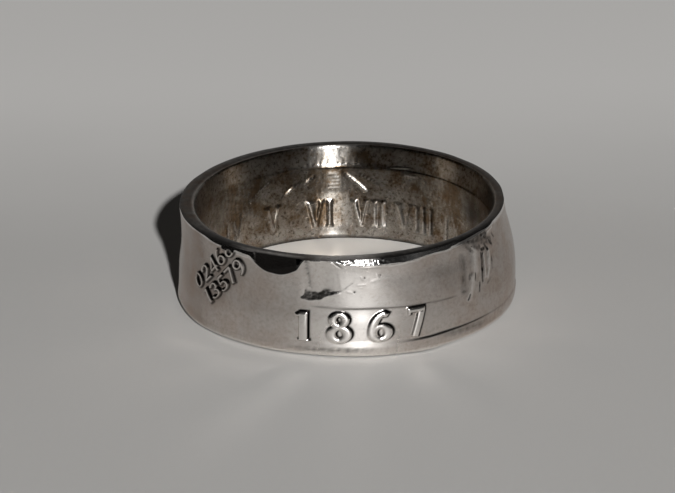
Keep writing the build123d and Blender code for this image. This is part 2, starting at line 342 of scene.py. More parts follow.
@dataclass
class Relief:
    """Height, dirt, tarnish, shine and mattness over one wall of the band, vertex by vertex."""

    around: np.ndarray
    up: np.ndarray
    radius: float
    height: np.ndarray = field(init=False)
    dirt: np.ndarray = field(init=False)
    tarnish: np.ndarray = field(init=False)
    shine: np.ndarray = field(init=False)
    matt: np.ndarray = field(init=False)

    def __post_init__(self) -> None:
        """Starts the wall flat and clean."""
        for name in ("height", "dirt", "tarnish", "shine", "matt"):
            setattr(self, name, np.zeros_like(self.up))

    def seat(self, angle: float, level: float, turn: float = 0.0) -> tuple[np.ndarray, np.ndarray]:
        """Puts flat axes on the wall.

        Args:
            angle: where the axes start, degrees round the band.
            level: where they start, millimetres up.
            turn: how far they are turned, degrees.

        Returns:
            Each vertex's place along the two axes, in millimetres.
        """
        across = np.radians(self.around - angle) * self.radius
        rise = self.up - level
        cos, sin = math.cos(math.radians(turn)), math.sin(math.radians(turn))
        return across * cos + rise * sin, rise * cos - across * sin

    def arc(self, start: float, full: float, last: float, end: float) -> np.ndarray:
        """Picks a part of the way round: 0 at start, 1 from full to last, and 0 again at end."""
        return between(self.around, start, full, last, end)

    def soil(self, amount: np.ndarray) -> None:
        """Darkens the wall, where it isn't already darker."""
        self.dirt = np.maximum(self.dirt, np.clip(amount, 0.0, 1.0))

    def polish(self, amount: np.ndarray) -> None:
        """Shines the wall, where it doesn't already shine more."""
        self.shine = np.maximum(self.shine, amount)

    def spot(
        self, angle: float, level: float, wide: float, tall: float, turn: float = 0.0, power: int = 2,
    ) -> np.ndarray:
        """A soft spot, 1 at its middle, of these half sizes in millimetres. It is turned in degrees."""
        u, v = self.seat(angle, level, turn)
        return hill(u, 0.0, wide, power) * hill(v, 0.0, tall)

    def pebble(self, u: np.ndarray, v: np.ndarray, size: float) -> np.ndarray:
        """Makes an uneven hammered pattern.

        Args:
            u: places along one axis.
            v: places along the other.
            size: how far its bumps are from each other.

        Returns:
            Its height at each place, from -1 to 1.
        """
        a, b = u * 2 * math.pi / size, v * 2 * math.pi / size
        first = np.sin(0.53 * a + 0.37 * b + 1.3 * np.sin(0.21 * b)) * np.sin(0.41 * b - 0.29 * a + 0.8)
        second = np.sin(0.95 * a - 0.62 * b + 2.0 + np.sin(0.33 * a)) * np.sin(0.71 * b + 0.48 * a)
        return 0.6 * first + 0.4 * second

    def waves(self, table: tuple[tuple[float, float, float, float], ...]) -> None:
        """Adds slow waves, each given by its count round the band, slant, start and height."""
        for count, slant, start, size in table:
            self.height += size * np.sin(count * np.radians(self.around) + slant * self.up + start)

    def strike_word(self, text: str, angle: float, level: float, punch: Punch) -> None:
        """Raises a row of numerals.

        Args:
            text: the numerals.
            angle: the row's middle, degrees round the band.
            level: the numerals' feet, millimetres up.
            punch: how they are struck.
        """
        u, v = self.seat(angle, level, punch.turn)
        tall, wide, soft = punch.size, punch.size * punch.stretch, punch.soft
        widths = [punch.letters[name].width * wide for name in text]
        length = sum(widths) + punch.spacing * (len(text) - 1)
        near = (np.abs(u) < length / 2 + tall) & (np.abs(v - tall / 2) < 1.5 * tall)
        unit_u, unit_v = u[near] / wide, v[near] / tall
        aside, over = punch.shade[0] / wide, punch.shade[1] / tall
        gap, shaded = np.full_like(unit_u, 99.0), np.full_like(unit_u, 99.0)
        start = -length / 2
        for name, width in zip(text, widths):
            glyph, left = punch.letters[name], start / wide
            gap = np.minimum(gap, glyph.gap(unit_u - left, unit_v) * tall)
            shaded = np.minimum(shaded, glyph.gap(unit_u - left - aside, unit_v - over) * tall)
            start += width + punch.spacing
        face = ramp(soft / 2, -soft / 2, gap) + punch.crown * ramp(0.0, -0.17, gap)
        under = self.height[near]
        self.height[near] = np.maximum(under, punch.lift * face) + np.minimum(under, 0.0)
        # Tarnish on the ground round the strokes, moved by the shade offset so that it also paints shade on
        # one side of each stroke.
        ground = hill(np.maximum(shaded, 0.0), 0.0, punch.spread) * ramp(-soft / 2, 0.0, gap)
        self.dirt[near] = np.maximum(self.dirt[near], punch.dirt * ground)
        self.shine[near] = np.maximum(self.shine[near], ramp(0.0, -soft, gap))

    def strike_leaf(self, foot: Place, tip: Place, width: float, lift: float, dirt: float) -> None:
        """Raises a keeled leaf between two places.

        Args:
            foot: where it starts.
            tip: where it ends.
            width: at its middle.
            lift: height of its keel.
            dirt: darkness beside it.
        """
        u, v = self.seat(*foot)
        run = math.radians(tip[0] - foot[0]) * self.radius
        climb = tip[1] - foot[1]
        length = math.hypot(run, climb)
        along = (u * run + v * climb) / length
        across = (v * run - u * climb) / length
        share = np.clip(along / length, 0.0, 1.0)
        bend = 0.10 * width * np.sin(np.pi * share)
        half = width / 2 * np.sin(np.pi * share) ** 0.7
        beyond = np.maximum(np.maximum(-along, along - length), 0.0)
        gap = np.hypot(np.abs(across - bend), beyond) - half
        keel = lift * np.clip(-gap / (width / 2), 0.0, 1.0)
        self.height = np.maximum(self.height, keel)
        self.polish(ramp(0.0, 0.5, keel / lift))
        self.soil(dirt * hill(gap, 0.0, 0.07) * (gap > -0.03))

    def strike_line(self, line: tuple[Place, ...], width: float, lift: float, dirt: float) -> None:
        """Raises a ridge or sinks a groove along a line of places.

        Args:
            line: its places in order.
            width: across the ridge or groove.
            lift: height of the ridge, or less than nothing for a groove.
            dirt: darkness along it.
        """
        nearest = np.full_like(self.up, 99.0)
        for start, end in zip(line, line[1:]):
            u, v = self.seat(*start)
            run, climb = math.radians(end[0] - start[0]) * self.radius, end[1] - start[1]
            along = np.clip((u * run + v * climb) / (run * run + climb * climb), 0.0, 1.0)
            nearest = np.minimum(nearest, np.hypot(u - along * run, v - along * climb))
        share = ramp(width / 2, 0.0, nearest)
        self.height += lift * share
        u, v = self.seat(*line[0])
        self.soil(dirt * ramp(0.0, 0.7, share) * (0.85 + 0.35 * self.pebble(u, v, 0.38)))
        if lift > 0.0:
            self.polish(0.8 * share)


@dataclass
class BandShape:
    """The band's plain form: what the frame gives, and the walls that follow from it."""

    bore_radius: float
    height: float
    foot_wall: float = 1.50
    shoulder_wall: float = 0.99
    mouth_flare: float = 0.20
    mouth_round: float = 0.10
    lip_depth: float = 0.09
    top_tilt: float = 0.55
    belly_shift: float = 0.18
    foot_angles: tuple[float, ...] = (
        -180, -100, -66, -40, -24, -11, -4, 4, 14, 25, 41, 60, 100, 180,
    )
    foot_rounds: tuple[float, ...] = (
        0.34, 0.34, 0.42, 0.80, 0.94, 1.06, 1.00, 0.88, 0.74, 0.48, 0.60, 0.42, 0.34, 0.34,
    )
    rim_step: float = 0.07
    inner_rim_height: float = 0.65
    inner_rim_step: float = 0.09
    ledge_height: float = 4.93
    ledge_step: float = 0.05
    reed_count: int = 119
    reed_depth: float = 0.07
    height_shares: tuple[float, ...] = (0.00, 0.22, 0.38, 0.53, 0.69, 0.86, 1.00)
    swell_shares: tuple[float, ...] = (1.00, 1.04, 0.97, 0.69, 0.37, 0.06, 0.00)
    shift_shares: tuple[float, ...] = (0.60, 0.95, 1.00, 1.00, 0.60, -0.15, -0.75)

    @property
    def foot_radius(self) -> float:
        """Outside radius of the rim at the foot."""
        return self.bore_radius + self.foot_wall

    @property
    def shoulder_radius(self) -> float:
        """Outside radius at the shoulder, under the filed edge."""
        return self.bore_radius + self.shoulder_wall

    def blend_sections(self, level: np.ndarray, shares: tuple[float, ...]) -> np.ndarray:
        """Runs a smooth curve through the wall's sections, from the underside up."""
        return smooth_table(level / self.height, self.height_shares, shares)

    def outer_radius(self, level: np.ndarray) -> np.ndarray:
        """Radius of the outside field at each height."""
        swell = self.foot_radius - self.rim_step - self.shoulder_radius
        return self.shoulder_radius + swell * self.blend_sections(level, self.swell_shares)

    def outer_shift(self, level: np.ndarray) -> np.ndarray:
        """How far the outside's middle stands towards +X at each height."""
        return self.belly_shift * self.blend_sections(level, self.shift_shares)

    def foot_round(self, around: np.ndarray) -> np.ndarray:
        """Radius of the foot's outer corner at each angle."""
        return smooth_table(around, self.foot_angles, self.foot_rounds)

    def inner_radius(self, level: np.ndarray, around: np.ndarray) -> np.ndarray:
        """Radius of the inside wall: rim, field, ledge, and a mouth that is hardly flared at the front.

        Args:
            level: millimetres up.
            around: degrees from the back.

        Returns:
            The wall's radius at each place.
        """
        rim_top = self.inner_rim_height
        rim = ramp(2.2 * rim_top, 0.5 * rim_top, level) + ramp(0.27, 0.15, level)
        ledge = self.ledge_step * ramp(self.ledge_height - 0.02, self.ledge_height + 0.02, level)
        rise = np.clip((level - self.ledge_height) / (self.height - self.ledge_height), 0.0, 1.0)
        flare = (self.mouth_flare - self.ledge_step) * rise
        lip = np.clip((level - self.height + self.mouth_round) / self.mouth_round, 0.0, 1.0)
        rounding = self.lip_depth * (1.0 - np.sqrt(1.0 - lip ** 2))
        flared = 1.0 - 0.95 * ramp(120.0, 165.0, np.abs(around))
        return self.bore_radius - 0.5 * self.inner_rim_step * rim + flared * (ledge + flare + rounding)


@dataclass
class FiledEdge:
    """The hand-filed bevel round the top, with one deep scoop at the left of the front."""

    shape: BandShape
    lean: float = 22.5
    scoop_lean: float = 14.0
    angles: tuple[float, ...] = (
        -180, -100, -70, -60, -54, -43, -36, -33.8, -32.4, -30.4, -28.6, -25.8,
        -21.5, -19.5, -17.9, -16.1, -14.9, -13.7, -8.5, -5, -1.6, 2.5, 7.3, 12,
        19, 24, 28, 33, 38, 44, 50, 57, 69, 85, 100, 180,
    )
    depths: tuple[float, ...] = (
        0.12, 0.10, 0.07, 0.10, 0.19, 0.32, 0.33, 0.38, 0.60, 0.86, 1.03, 1.13,
        1.14, 1.03, 0.90, 0.70, 0.40, 0.14, 0.03, 0.09, 0.20, 0.31, 0.40, 0.40,
        0.43, 0.34, 0.28, 0.29, 0.33, 0.30, 0.24, 0.20, 0.14, 0.10, 0.10, 0.12,
    )

    def foot(self, around: np.ndarray) -> np.ndarray:
        """Height of the filed edge's foot at each angle."""
        return self.shape.height - np.maximum(smooth_table(around, self.angles, self.depths), 0.03)

    def scoop(self, around: np.ndarray) -> np.ndarray:
        """How much of the scoop there is at each angle, from 0 to 1."""
        return ramp(0.40, 0.75, self.shape.height - self.foot(around))

    def limit(self, around: np.ndarray, level: np.ndarray) -> np.ndarray:
        """How far out the file left the metal.

        Args:
            around: degrees from the front.
            level: millimetres up.

        Returns:
            The largest radius that the metal may have at each place.
        """
        foot = self.foot(around)
        flatter = 3.8 * between(around, -12.0, -7.0, 2.6, 4.2)
        slope = np.tan(np.radians(self.lean - flatter + self.scoop(around) * (self.scoop_lean - self.lean)))
        return np.where(level > foot, self.shape.outer_radius(foot) - (level - foot) * slope, 99.0)

    def rough_ends(self, around: np.ndarray) -> np.ndarray:
        """How much of the two rough, stained places at the front there is at each angle."""
        return hill(around, 0.6, 2.9, 4) + hill(around, 12.9, 2.8, 4)

    def grit(self, wall: Relief, above: np.ndarray) -> np.ndarray:
        """Roughens the edge with the file's marks.

        Args:
            wall: the outside wall.
            above: how far up the filed edge each vertex is, from 0 to 1.

        Returns:
            How far the marks move the metal out.
        """
        u, v = wall.seat(0.0, 6.0)
        marks = wall.pebble(u, v, 0.26) + wall.pebble(1.7 * u + 0.4, 0.6 * v, 0.21)
        deep = 0.004 * (1.0 + 1.5 * self.rough_ends(wall.around)) * (1.0 - self.scoop(wall.around))
        return deep * marks * between(above, 0.0, 0.25, 0.75, 1.0)

    def stain_and_shade(self, wall: Relief) -> np.ndarray:
        """Darkens the edge: all over the scoop, as painted shade for the dark room that it reflects; on both
        sides of the front; and in specks on the rough places.

        Args:
            wall: the outside wall.

        Returns:
            How dark the edge is.
        """
        u, v = wall.seat(0.0, 6.0)
        speck = wall.pebble(1.5 * u, 1.8 * v, 0.33) + 0.35 * (wall.around < 6.0)
        return np.maximum.reduce([
            0.80 * wall.arc(40.0, 46.0, 58.0, 66.0),
            0.95 * wall.arc(-21.0, -17.0, -13.4, -12.4),
            0.985 * self.rough_ends(wall.around) * ramp(-0.05, 0.30, speck),
            # The scoop's darkness is painted shade.
            0.975 * self.scoop(wall.around),
        ])


@dataclass
class OutsideStrike:
    """Everything struck, worn or dented on the outside of the band.

    A numeral has its text, angle and stretch, a counting row its text, angle and share of the height,
    a pit its angle, height and size, and a wave its count, slant, start and height.
    """

    wall: Relief
    shape: BandShape
    filed: FiledEdge
    numeral_foot: float = 1.24
    numeral_punch: Punch = Punch(
        letters=TALL, size=1.92, lift=0.12, soft=0.085, dirt=1.0, spread=0.055, shade=(0.09, 0.045),
        crown=0.32,
    )
    numerals: tuple[tuple[str, float, float], ...] = (
        ("1", -15.0, 1.0), ("8", -3.0, 1.25), ("6", 10.6, 1.3), ("7", 23.0, 1.05),
    )
    count_rows: tuple[tuple[str, float, float], ...] = (
        ("02468", -50.0, 0.672), ("13579", -43.9, 0.560),
    )
    count_punch: Punch = Punch(
        letters=ROUND, size=1.02, lift=0.096, soft=0.11, dirt=0.88, spread=0.07, shade=(0.075, -0.04),
        crown=0.3, spacing=0.12, turn=45.0, stretch=1.56,
    )
    # The wide dark strips in this table, half a millimetre across and wider, are painted soft shade beside
    # the ridges; the narrow grooves are dark with tarnish.
    locks: tuple[Line, ...] = (
        (((50.4, 5.2), (49.9, 4.7), (49.6, 4.3)), 1.00, 0.040, 0.0),
        (((58.9, 4.9), (57.6, 4.2)), 0.62, 0.036, 0.0),
        (((57.3, 3.95), (55.6, 3.5)), 0.44, 0.026, 0.0),
        (((47.6, 3.9), (46.4, 3.3), (44.8, 2.75)), 0.80, 0.040, 0.0),
        (((55.7, 4.9), (55.1, 4.3), (54.3, 3.55)), 0.26, 0.030, 0.0),
        (((50.3, 5.65), (52.0, 5.25)), 0.16, 0.030, 0.0),
        (((64.5, 6.1), (60.5, 6.0), (56.5, 5.95)), 0.22, 0.025, 0.0),
        (((54.6, 5.0), (54.0, 4.5), (53.4, 4.1)), 0.30, -0.035, 0.80),
        (((53.6, 4.2), (52.9, 3.75), (52.5, 3.40)), 0.24, -0.030, 0.86),
        (((53.3, 4.1), (52.9, 3.7)), 0.20, -0.010, 1.0),
        (((49.3, 4.05), (48.8, 3.65)), 0.18, -0.020, 1.0),
        (((50.9, 3.36), (50.3, 2.88)), 0.20, -0.025, 1.0),
        (((45.2, 2.92), (44.2, 2.66)), 0.20, -0.025, 1.0),
        (((44.4, 5.3), (43.7, 4.5), (42.6, 3.4)), 0.80, -0.030, 0.30),
        (((43.2, 4.15), (42.9, 3.75)), 0.26, 0.0, 0.62),
        (((46.2, 4.05), (46.0, 3.85)), 0.24, 0.0, 0.60),
        (((60.1, 4.3), (59.3, 3.8)), 0.24, -0.012, 0.42),
        (((57.2, 3.30), (55.0, 3.12)), 0.20, -0.012, 0.34),
        (((58.6, 4.75), (58.0, 4.60)), 0.26, -0.010, 0.34),
        (((60.4, 4.45), (60.2, 4.2)), 0.20, -0.010, 0.8),
        (((55.2, 5.20), (57.0, 5.20)), 0.30, -0.020, 1.0),
        (((58.0, 5.85), (60.3, 5.65)), 0.34, -0.020, 1.0),
        (((61.0, 5.42), (62.2, 5.18)), 0.34, -0.020, 1.0),
        (((57.6, 5.40), (59.0, 5.05)), 0.30, -0.020, 0.9),
        (((63.6, 5.75), (64.8, 5.45)), 0.22, -0.010, 0.7),
        (((56.0, 5.75), (61.5, 5.45)), 0.80, 0.0, 0.62),
        (((45.5, 6.42), (52.5, 6.12), (58.0, 6.00)), 1.25, -0.020, 0.84),
        (((51.5, 5.75), (54.0, 5.45)), 0.70, -0.010, 0.66),
        (((47.2, 5.95), (49.0, 5.60)), 0.50, -0.010, 0.55),
    )
    marks: tuple[Line, ...] = (
        (((-5.0, 4.35), (-1.5, 4.50), (2.4, 4.95)), 0.16, -0.004, 0.34),
        (((4.0, 4.80), (6.6, 4.82)), 0.15, 0.007, 0.0),
        (((4.6, 4.64), (5.6, 4.64)), 0.12, 0.007, 0.0),
        (((0.2, 4.43), (1.6, 4.36)), 0.20, 0.007, 0.0),
        (((5.6, 5.30), (5.9, 5.12)), 0.13, 0.014, 0.0),
        (((11.1, 5.42), (11.4, 5.22)), 0.13, 0.014, 0.0),
        (((9.0, 5.0), (14.0, 5.2)), 0.30, 0.008, 0.0),
    )
    lip_angles: tuple[float, ...] = (-16.0, -14.6, -13.8, -12.0, -9.8, -7.2, -5.8, -1.6)
    lip_low: tuple[float, ...] = (3.96, 3.92, 3.89, 3.86, 3.94, 4.13, 4.24, 4.44)
    lip_high: tuple[float, ...] = (3.96, 4.20, 4.52, 4.42, 4.36, 4.60, 4.46, 4.46)
    panel_line_angles: tuple[float, ...] = (-14.0, -7.0, 0.0, 11.0, 20.0, 27.0, 33.0, 40.0)
    panel_line: tuple[float, ...] = (3.50, 3.42, 3.35, 3.31, 3.25, 3.22, 3.20, 3.17)
    rim_angles: tuple[float, ...] = (-180, -70, -40, -15, -5, 12, 20, 26, 37, 53, 80, 180)
    rim_line: tuple[float, ...] = (0.90, 0.75, 0.80, 0.97, 1.05, 1.05, 1.03, 1.05, 1.12, 1.12, 0.95, 0.90)
    pits: tuple[tuple[float, float, float], ...] = (
        (6.7, 5.24, 0.06), (12.2, 5.36, 0.05), (2.6, 4.39, 0.07),
    )
    unevenness: tuple[tuple[float, float, float, float], ...] = (
        (7, 0.9, 0.4, 0.006), (13, -1.1, 2.1, 0.008), (19, 1.3, 4.0, 0.009), (29, -0.9, 1.0, 0.006),
    )
    wear: float = 0.050

    def apply(self) -> None:
        """Strikes all the relief into the outside wall."""
        wall = self.wall
        self.panel()
        self.recess()
        for text, angle, stretch in self.numerals:
            wall.strike_word(text, angle, self.numeral_foot, replace(self.numeral_punch, stretch=stretch))
        for text, angle, share in self.count_rows:
            wall.strike_word(text, angle, share * self.shape.height, self.count_punch)
        for line, width, lift, dirt in (*self.locks, *self.marks):
            wall.strike_line(line, width, lift, dirt)
        u, v = wall.seat(51.5, 6.15, 3.0)
        wall.soil(0.72 * hill(u, 0.0, 1.15, 4) * hill(v, 0.0, 0.30) * (1.0 + 0.25 * wall.pebble(u, v, 0.3)))
        self.knocks()
        self.rim()
        wall.waves(self.unevenness)
        wall.height -= self.wear
        self.tone()

    def panel(self) -> None:
        """The worn low panel, with its lower edge a gentle arc over the numerals."""
        wall = self.wall
        lower = np.interp(wall.around, self.panel_line_angles, self.panel_line)
        left = ramp(-7.5, 1.0, wall.around)
        inside = ramp(41.5, 39.0, wall.around) * ramp(-0.03, 0.03, wall.up - lower)
        wall.height += 0.035 * left * inside
        line = hill(wall.up, lower, 0.060) * ramp(-15.0, -8.0, wall.around)
        wall.soil(0.60 * line * ramp(41.0, 36.0, wall.around))

    def recess(self) -> None:
        """The low ground left of the panel, which ends below in a lip that faces up."""
        wall = self.wall
        u, v = wall.seat(-8.0, 4.5)
        ragged, fibre = wall.pebble(u, v, 0.50), wall.pebble(u - 1.2 * v, 2.4 * v, 0.30)
        around, up = wall.around + 0.40 * ragged, wall.up + 0.045 * wall.pebble(u + 1.0, v, 0.50)
        low = np.interp(around, self.lip_angles, self.lip_low)
        high = np.interp(around, self.lip_angles, self.lip_high)
        first, last = self.lip_angles[0], self.lip_angles[-1]
        within = between(around, first - 2.0, first + 4.2, last - 2.5, last)
        thick = np.maximum(high - low, 0.001)
        share = (up - low) / thick
        fade = np.clip(1.0 - (wall.up - high) / (self.shape.height + 0.3 - high), 0.0, 1.0)
        deep = np.interp(around, (-16.1, -11.8, -6.5, -1.6), (0.0, 0.077, 0.062, 0.0))
        wall.height -= deep * ramp(0.0, 1.0, share) * np.where(wall.up > high, fade, 1.0)
        # The lip's face is blackened: painted shade, deepening the dark that its upward lean reflects.
        face = between(share, -0.05, 0.20, 0.75, 1.15) * ramp(0.03, 0.10, thick)
        there = ramp(0.0, 0.15, within)
        wall.soil((0.64 + 0.34 * fibre) * face * there)
        solid = ramp(0.03, 0.12, thick) * there
        wall.soil(0.97 * hill(share, 0.15, 0.13) * solid)
        under = hill(up, low - 0.07, 0.06) * solid
        wall.height += 0.026 * under
        wall.polish(under)
        # A black spot at the top of the lip's face: painted shade.
        wall.soil(0.95 * wall.spot(-6.4, 4.50, 0.24, 0.10))
        left_edge = hill(around, -12.4, 0.80) * ramp(4.3, 4.6, wall.up)
        wall.soil(0.62 * left_edge * (0.7 + 0.6 * ragged + 0.5 * fibre))

    def knocks(self) -> None:
        """Small dark knocks, and the uneven patch that glints under the edge."""
        wall = self.wall
        for angle, level, size in self.pits:
            dent = wall.spot(angle, level, size, size)
            wall.height -= 0.010 * dent
            wall.soil(1.6 * dent - 0.3)
        u, v = wall.seat(3.5, 5.2)
        wall.height += 0.003 * wall.spot(3.5, 5.2, 1.3, 0.7) * wall.pebble(u, v, 0.45)
        burr = hill(wall.up, self.filed.foot(wall.around) - 0.10, 0.05)
        near = wall.arc(4.0, 9.0, 25.0, 33.0)
        burr = burr * (near + hill(wall.around, -37.0, 4.0, 4))
        wall.height += 0.020 * burr
        wall.polish(burr)
        stroke = wall.spot(-2.7, 6.2, 0.45, 0.06, -38.0, 4)
        wall.soil(0.95 * stroke)
        wall.height -= 0.03 * stroke

    def rim(self) -> None:
        """The coin's raised rim, worn away towards the left."""
        wall = self.wall
        line = smooth_table(wall.around, self.rim_angles, self.rim_line)
        keep = 0.12 + 0.38 * wall.arc(10.0, 30.0, 100.0, 130.0)
        keep = keep + 0.50 * wall.arc(10.0, 30.0, 38.0, 58.0)
        middle = hill(wall.around, -5.5, 13.5, 4)
        gap = wall.up - line
        width = 0.46 - 0.38 * wall.arc(10.0, 30.0, 100.0, 165.0)
        front = hill(wall.around, -1.0, 19.0, 4)
        step = self.shape.rim_step * (0.35 + 0.65 * np.maximum(front, keep))
        wall.height += step * np.clip(0.5 - gap / width, 0.0, 1.0)
        u, v = wall.seat(0.0, 0.6)
        streak = wall.pebble(u, 3.0 * v, 0.40)
        seam = 0.12 + 0.56 * wall.arc(14.0, 24.0, 30.0, 36.0)
        seam = seam + 0.32 * wall.arc(14.0, 26.0, 36.0, 62.0)
        wall.soil((0.80 + 0.3 * streak) * seam * hill(gap, 0.0, 0.050))
        # A soft dark band under the rim line at the right: the rim's painted shadow.
        u, v = wall.seat(43.0, 0.85, -3.0)
        wall.soil((0.40 + 0.32 * wall.pebble(u, 3.0 * v, 0.45)) * hill(u, 0.0, 1.9, 4) * hill(v, 0.0, 0.22))
        # A dark strip on the rim step at the middle of the front: painted shade, which also hides the step's
        # glint.
        wall.soil((0.46 + 0.42 * streak) * middle * hill(wall.up, 0.72, 0.17))
        wall.polish(between(wall.up, 0.10, 0.16, 0.26, 0.42) * wall.arc(-75.0, -55.0, 100.0, 140.0))

    def tone(self) -> None:
        """The middle of the front is lightest, part polish and part painted sheen for the bright floor that
        it reflects, and the foot's lowest edge is blackened as a painted contact shadow.
        """
        wall = self.wall
        # Less tarnish at the middle of the front: part polish, part painted sheen where the bright floor is
        # reflected.
        clean = hill(wall.around, -1.0, 19.0)
        flank = ramp(35.0, 80.0, np.abs(wall.around))
        wall.tarnish = (0.62 - 0.62 * clean + 0.33 * flank) * (1.0 - 0.95 * wall.shine)
        wall.tarnish += 0.25 * wall.arc(-100.0, -80.0, -62.0, -52.0)
        # Painted contact shadow along the lowest edge of the foot, where it meets the paper.
        wall.soil(0.95 * ramp(0.14, 0.06, wall.up))
        u, v = wall.seat(-47.0, 4.3, self.count_punch.turn)
        wall.soil(0.28 * hill(u, 0.0, 2.3, 4) * hill(v, 0.0, 1.1, 4) * (1.0 - wall.shine))
        middle = hill(wall.around, 3.5, 11.0)
        wall.matt = 0.08 + 0.25 * (1.0 - middle)
        wall.matt += middle * (0.52 * ramp(3.5, 2.5, wall.up) + 0.36 * ramp(2.5, 1.6, wall.up))
        wall.matt += 0.22 * middle * ramp(4.9, 5.6, wall.up)


@dataclass
class InsideStrike:
    """Everything struck on the inside of the band, which has kept its brown tarnish."""

    wall: Relief
    shape: BandShape
    dial: tuple[str, ...] = ("I", "II", "III", "IV", "V", "VI", "VII", "VIII", "IX", "X", "XI", "XII")
    dial_foot: float = 0.80
    dial_pitch: float = 20.0
    dial_punch: Punch = Punch(
        letters=DIAL, size=1.80, lift=0.09, soft=0.10, dirt=0.45, spread=0.07, shade=(0.03, 0.0),
        crown=0.3, spacing=0.10,
    )
    grain: np.ndarray = field(init=False, repr=False)
    leaves: tuple[tuple[Place, Place, float, float], ...] = (
        ((-25.8, 3.10), (-17.8, 4.00), 0.25, 0.14),
        ((-16.4, 3.80), (-11.4, 4.36), 0.14, 0.09),
        ((11.6, 3.05), (-0.8, 4.64), 0.28, 0.09),
        ((11.0, 3.08), (4.6, 3.90), 0.30, 0.09),
        ((14.5, 3.80), (5.0, 4.60), 0.12, 0.04),
        ((29.0, 5.14), (18.0, 4.98), 0.18, 0.06),
        ((33.0, 4.60), (23.5, 4.68), 0.17, 0.05),
        ((-40.0, 3.60), (-30.0, 4.55), 0.16, 0.05),
    )
    bars: tuple[float, ...] = (4.50, 4.21, 3.98, 3.77, 3.53)

    def apply(self) -> None:
        """Strikes the dial and the sprigs into the inside wall."""
        wall = self.wall
        for place, text in enumerate(self.dial):
            angle = (place - (len(self.dial) - 1) / 2) * self.dial_pitch
            kept = 1.0 - (0.7 if angle > 20.0 else 0.4) * min(abs(angle) / 50.0, 1.0)
            punch = self.dial_punch
            punch = replace(punch, lift=kept * punch.lift, dirt=kept * punch.dirt)
            wall.strike_word(text, angle, self.dial_foot, punch)
        for foot, tip, width, lift in self.leaves:
            wall.strike_leaf(foot, tip, width, lift, 0.6)
        for level in self.bars:
            wall.strike_line(((-6.0, level - 0.02), (-2.0, level + 0.04)), 0.15, 0.034, 0.0)
        wall.waves(((9, 1.1, 0.0, 0.004), (17, -2.0, 1.3, 0.003), (31, 1.3, 0.7, 0.0015)))
        u, v = wall.seat(0.0, 3.0)
        mouth = ramp(5.0, 5.1, wall.up)
        worn = 0.85 * wall.arc(-150.0, -110.0, -24.0, -8.0)
        ledge, step = self.shape.ledge_height, self.shape.ledge_step
        wall.height += worn * step * ramp(ledge - 0.02, ledge + 0.02, wall.up)
        hollow = wall.arc(-26.0, -14.0, 12.0, 24.0)
        wall.height += 0.040 * hollow * ramp(5.21, 4.98, wall.up) * (wall.up > ledge)
        self.grain = wall.pebble(u, v, 0.34)
        wall.height += (0.0035 + 0.0065 * mouth) * self.grain * ramp(70.0, 40.0, np.abs(wall.around))
        self.tone()

    def tone(self) -> None:
        """Brown all over and lighter at the foot, with one light patch on the mouth, part polish and part
        painted highlight, and painted shade on the upper sides, along the mouth's top, round the reflected
        streak, under the ledge and along the foot.
        """
        wall = self.wall
        span = wall.arc(-14.4, -13.2, 6.0, 11.0)
        blob = hill(wall.around, -3.4, 1.2 + 2.1 * ramp(5.25, 5.8, wall.up), 4)
        ledge = hill(wall.up, 5.06, 0.07) * hill(wall.around, -3.5, 8.0, 4)
        grey = 0.42 * ramp(8.0, 1.0, wall.around) * (0.55 + 1.4 * np.maximum(self.grain, 0.0))
        lip = 0.9 * ramp(6.02, 6.20, wall.up)
        # The patch sits where the key light is reflected: its light colour is part polish and part painted
        # highlight, with a painted bright line along the ledge.
        patch = span * np.clip(np.maximum.reduce([blob, ledge, grey, lip]), 0.0, 1.0)
        patch = patch * ramp(4.97, 5.05, wall.up)
        mouth = ramp(4.8, 5.2, wall.up)
        wall.tarnish = 0.96 - 0.85 * patch - 0.30 * ramp(1.7, 0.4, wall.up) - 0.40 * wall.shine
        far = ramp(-5.0, -20.0, wall.around) + ramp(7.0, 16.0, wall.around)
        far = far * ramp(150.0, 110.0, np.abs(wall.around))
        wall.tarnish -= 0.27 * mouth * far * (1.0 - 0.55 * ramp(27.0, 36.0, wall.around))
        wall.tarnish -= 0.20 * hill(wall.around, 12.0, 17.0, 4) * (1.0 - mouth)
        wall.tarnish -= 0.30 * wall.arc(-130.0, -100.0, -78.0, -62.0)
        # Darker upper sides: painted shade that dims the floor's reflection there.
        side_shade = 1.15 * hill(wall.around, -50.0, 15.0, 4) + 0.7 * hill(wall.around, 42.0, 15.0, 4)
        side_shade = side_shade * (0.38 + 0.30 * self.grain) * ramp(1.6, 3.0, wall.up)
        wall.soil(side_shade * (1.0 - 0.85 * mouth))
        # Painted shade along the top of the mouth, dimming its bright reflection.
        wall.soil(0.12 * ramp(6.20, 6.34, wall.up) * far)
        # Dark ground round the reflected streak, which leaves the bars bright: painted shade.
        streak_shade = hill(wall.around, -4.0, 7.0, 4) * (1.0 - wall.shine)
        wall.soil(0.62 * streak_shade * between(wall.up, 3.0, 3.3, 4.7, 4.9))
        wall.soil(0.40 * streak_shade * between(wall.up, 0.24, 0.32, 0.7, 1.0))
        # A dark line just under the ledge, strongest towards the right: painted shade of the ledge's
        # undercut.
        near_patch = hill(wall.around, -2.0, 9.0)
        to_right = wall.arc(-25.0, -5.0, 31.0, 45.0)
        line = hill(wall.up, self.shape.ledge_height - 0.07, 0.11)
        wall.soil((0.10 + 0.58 * to_right + 0.40 * near_patch) * line)
        # Painted shade along the lowest edge of the foot.
        wall.soil(0.75 * ramp(0.17, 0.10, wall.up))
        wall.matt = 0.55 - 0.35 * patch + 0.35 * mouth * far
        wall.soil(0.80 * wall.spot(63.0, 3.6, 1.4, 1.2))


